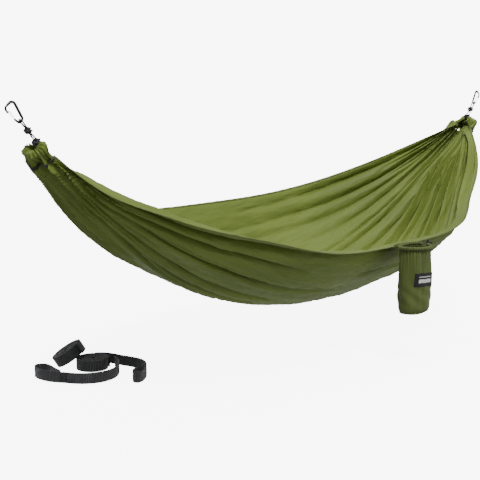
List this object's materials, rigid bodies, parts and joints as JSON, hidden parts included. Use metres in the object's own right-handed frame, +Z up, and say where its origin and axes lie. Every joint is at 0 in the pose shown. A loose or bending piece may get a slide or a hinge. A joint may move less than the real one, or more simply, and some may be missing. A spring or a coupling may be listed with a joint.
{
  "type": "camping hammock",
  "caption": "Gathered-end camping hammock hung open from wire-gate carabiners, with an attached stuff sack and coiled tree straps below.",
  "frame": {"origin": "left hang point: inside of the left carabiner's top bar, where an anchor strap bears", "axes": "+X from the left hang point to the right one, +Y from the near edge to the far edge, +Z up"},
  "size_m": [2.6027, 1.0711, 0.9414],
  "materials": {
    "olive_nylon": "plain-woven ripstop-free nylon taffeta, soft sheen",
    "hem_nylon": "rolled and stitched nylon",
    "black_thread": "bonded polyester thread",
    "black_cord": "braided nylon cord",
    "black_alloy": "black anodised, satin",
    "gate_steel": "polished stainless wire",
    "lock_plastic": "moulded acetal",
    "label_cloth": "woven satin label, plain",
    "strap_webbing": "ribbed polyester webbing"
  },
  "bodies": {
    "anchor_carabiners": {"left_carabiner_body": "black_alloy", "right_carabiner_body": "black_alloy"},
    "left_gate": {"left_gate_wire": "gate_steel"},
    "right_gate": {"right_gate_wire": "gate_steel"},
    "hammock": {"hammock_fabric": "olive_nylon", "near_hem": "hem_nylon", "far_hem": "hem_nylon", "left_end_channel": "olive_nylon", "right_end_channel": "olive_nylon", "left_channel_seam": "black_thread", "right_channel_seam": "black_thread", "left_suspension_cord": "black_cord", "right_suspension_cord": "black_cord", "left_loop_knot": "black_cord", "right_loop_knot": "black_cord", "left_gather_knot": "black_cord", "right_gather_knot": "black_cord"},
    "stuff_sack": {"sack_body": "olive_nylon", "sack_base": "olive_nylon", "sack_mouth_channel": "olive_nylon", "sack_seam_tape": "hem_nylon", "sack_label": "label_cloth", "sack_drawcord": "black_cord", "drawcord_knot": "black_cord"},
    "cord_lock": {"cord_lock_barrel": "lock_plastic", "cord_lock_spring": "gate_steel"},
    "lock_button": {"cord_lock_button": "lock_plastic"},
    "first_strap": {"first_strap_coil": "strap_webbing", "first_strap_long_end": "strap_webbing", "first_strap_short_end": "strap_webbing", "first_strap_long_tack": "black_thread", "first_strap_short_tack": "black_thread"},
    "second_strap": {"second_strap_coil": "strap_webbing", "second_strap_end": "strap_webbing"}
  },
  "joints": [
    {"name": "left_gate_hinge", "type": "hinge", "parent": "anchor_carabiners", "child": "left_gate", "pos_m": [0.01897, 0, -0.04146], "axis": [0, 1, 0], "range_deg": [0, 26], "stiffness_Nm_per_rad": 0.06, "springref_deg": -20.05},
    {"name": "right_gate_hinge", "type": "hinge", "parent": "anchor_carabiners", "child": "right_gate", "pos_m": [2.55574, 0, -0.04146], "axis": [0, -1, 0], "range_deg": [0, 26], "stiffness_Nm_per_rad": 0.06, "springref_deg": -20.05},
    {"name": "hammock_swing", "type": "hinge", "parent": "anchor_carabiners", "child": "hammock", "pos_m": [0.03879, 0, -0.04623], "axis": [1, 0, 0], "range_deg": [-20, 20]},
    {"name": "sack_seam_hinge", "type": "hinge", "parent": "hammock", "child": "stuff_sack", "pos_m": [1.29835, -0.43635, -0.50768], "axis": [1, 0, 0], "range_deg": [-90, 0]},
    {"name": "cord_lock_slide", "type": "slide", "parent": "stuff_sack", "child": "cord_lock", "axis": [1, 0, 0], "range_m": [0, 0.008]},
    {"name": "lock_button_press", "type": "slide", "parent": "cord_lock", "child": "lock_button", "axis": [0, 0, -1], "range_m": [0, 0.0035], "stiffness_N_per_m": 400, "springref_m": -0.004, "deforming": ["cord_lock_spring"]},
    {"name": "first_strap_lift", "type": "slide", "parent": "anchor_carabiners", "child": "first_strap", "axis": [0, 0, 1], "range_m": [0, 0.12]},
    {"name": "second_strap_lift", "type": "slide", "parent": "first_strap", "child": "second_strap", "axis": [0, 0, 1], "range_m": [0, 0.1]}
  ]
}
